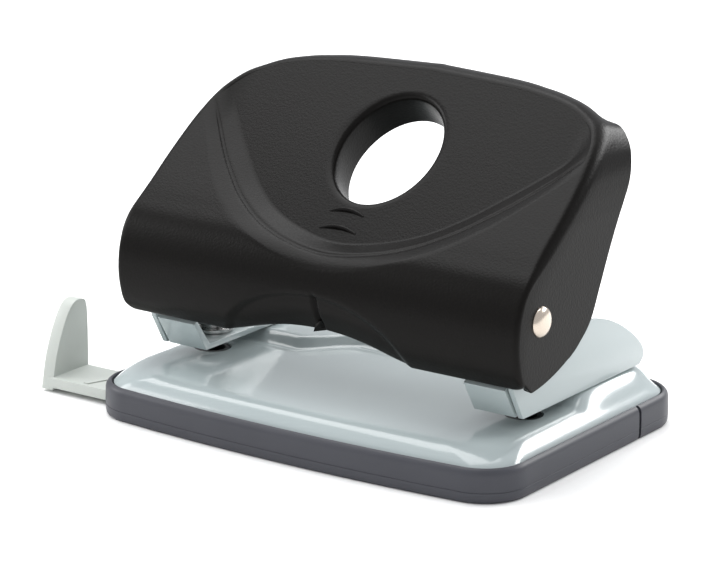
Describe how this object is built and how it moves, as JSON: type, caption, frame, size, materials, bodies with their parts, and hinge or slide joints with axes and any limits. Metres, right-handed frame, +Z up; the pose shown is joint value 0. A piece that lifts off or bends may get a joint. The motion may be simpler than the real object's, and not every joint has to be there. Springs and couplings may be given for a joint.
{
  "type": "hole punch",
  "caption": "Desk hole punch: a moulded lever handle with an oval finger hole on a pressed steel base, with a pull-off chip tray and a sliding paper guide.",
  "frame": {"origin": "centre of the chip tray's flat underside, midway between the two punch pins in x", "axes": "+X to the user's right along the line of the holes, +Y away from the user, +Z up"},
  "size_m": [0.1232, 0.0772, 0.0739],
  "materials": {
    "painted_steel": "glossy pale blue-grey paint",
    "black_plastic": "satin with a fine grain",
    "grey_plastic": "soft satin",
    "pale_plastic": "satin",
    "nylon": "natural",
    "bright_steel": "bright",
    "die_steel": "hardened, dark",
    "zinc_steel": "zinc plated",
    "nickel": "nickel plated"
  },
  "bodies": {
    "base": {"base_plate": "painted_steel", "left_bracket": "painted_steel", "right_bracket": "painted_steel", "left_bracket_rivet_front": "painted_steel", "left_bracket_rivet_rear": "painted_steel", "right_bracket_rivet_front": "painted_steel", "right_bracket_rivet_rear": "painted_steel", "left_die": "die_steel", "right_die": "die_steel", "left_pin_guide": "bright_steel", "right_pin_guide": "bright_steel", "left_pivot_washer": "nylon", "right_pivot_washer": "nylon"},
    "handle": {"handle_cover": "black_plastic", "lever_plate": "zinc_steel", "axle": "nickel", "axle_cap": "nickel", "left_cover_screw": "bright_steel", "right_cover_screw": "bright_steel"},
    "left_pin": {"left_punch_pin": "bright_steel", "left_pin_clip": "bright_steel", "left_return_spring": "bright_steel"},
    "right_pin": {"right_punch_pin": "bright_steel", "right_pin_clip": "bright_steel", "right_return_spring": "bright_steel"},
    "chip_tray": {"chip_tray": "grey_plastic"},
    "paper_guide": {"paper_guide": "pale_plastic"}
  },
  "joints": [
    {"name": "handle_press", "type": "hinge", "parent": "base", "child": "handle", "pos_m": [0, -0.019, 0.0346], "axis": [-1, 0, 0], "range_deg": [0, 25], "stiffness_Nm_per_rad": 0.5, "springref_deg": -20.05},
    {"name": "left_pin_slide", "type": "slide", "parent": "base", "child": "left_pin", "axis": [0, 0, -1], "range_m": [0, 0.0056], "deforming": ["left_return_spring"]},
    {"name": "right_pin_slide", "type": "slide", "parent": "base", "child": "right_pin", "axis": [0, 0, -1], "range_m": [0, 0.0056], "deforming": ["right_return_spring"]},
    {"name": "tray_pull", "type": "slide", "parent": "base", "child": "chip_tray", "axis": [0, 0, -1], "range_m": [0, 0.03]},
    {"name": "guide_slide", "type": "slide", "parent": "chip_tray", "child": "paper_guide", "axis": [-1, 0, 0], "range_m": [-0.0122, 0.0815]}
  ],
  "couplings": [
    {"joint": "left_pin_slide", "follows": "handle_press", "m_per_rad": 0.0119},
    {"joint": "right_pin_slide", "follows": "handle_press", "m_per_rad": 0.0119}
  ]
}
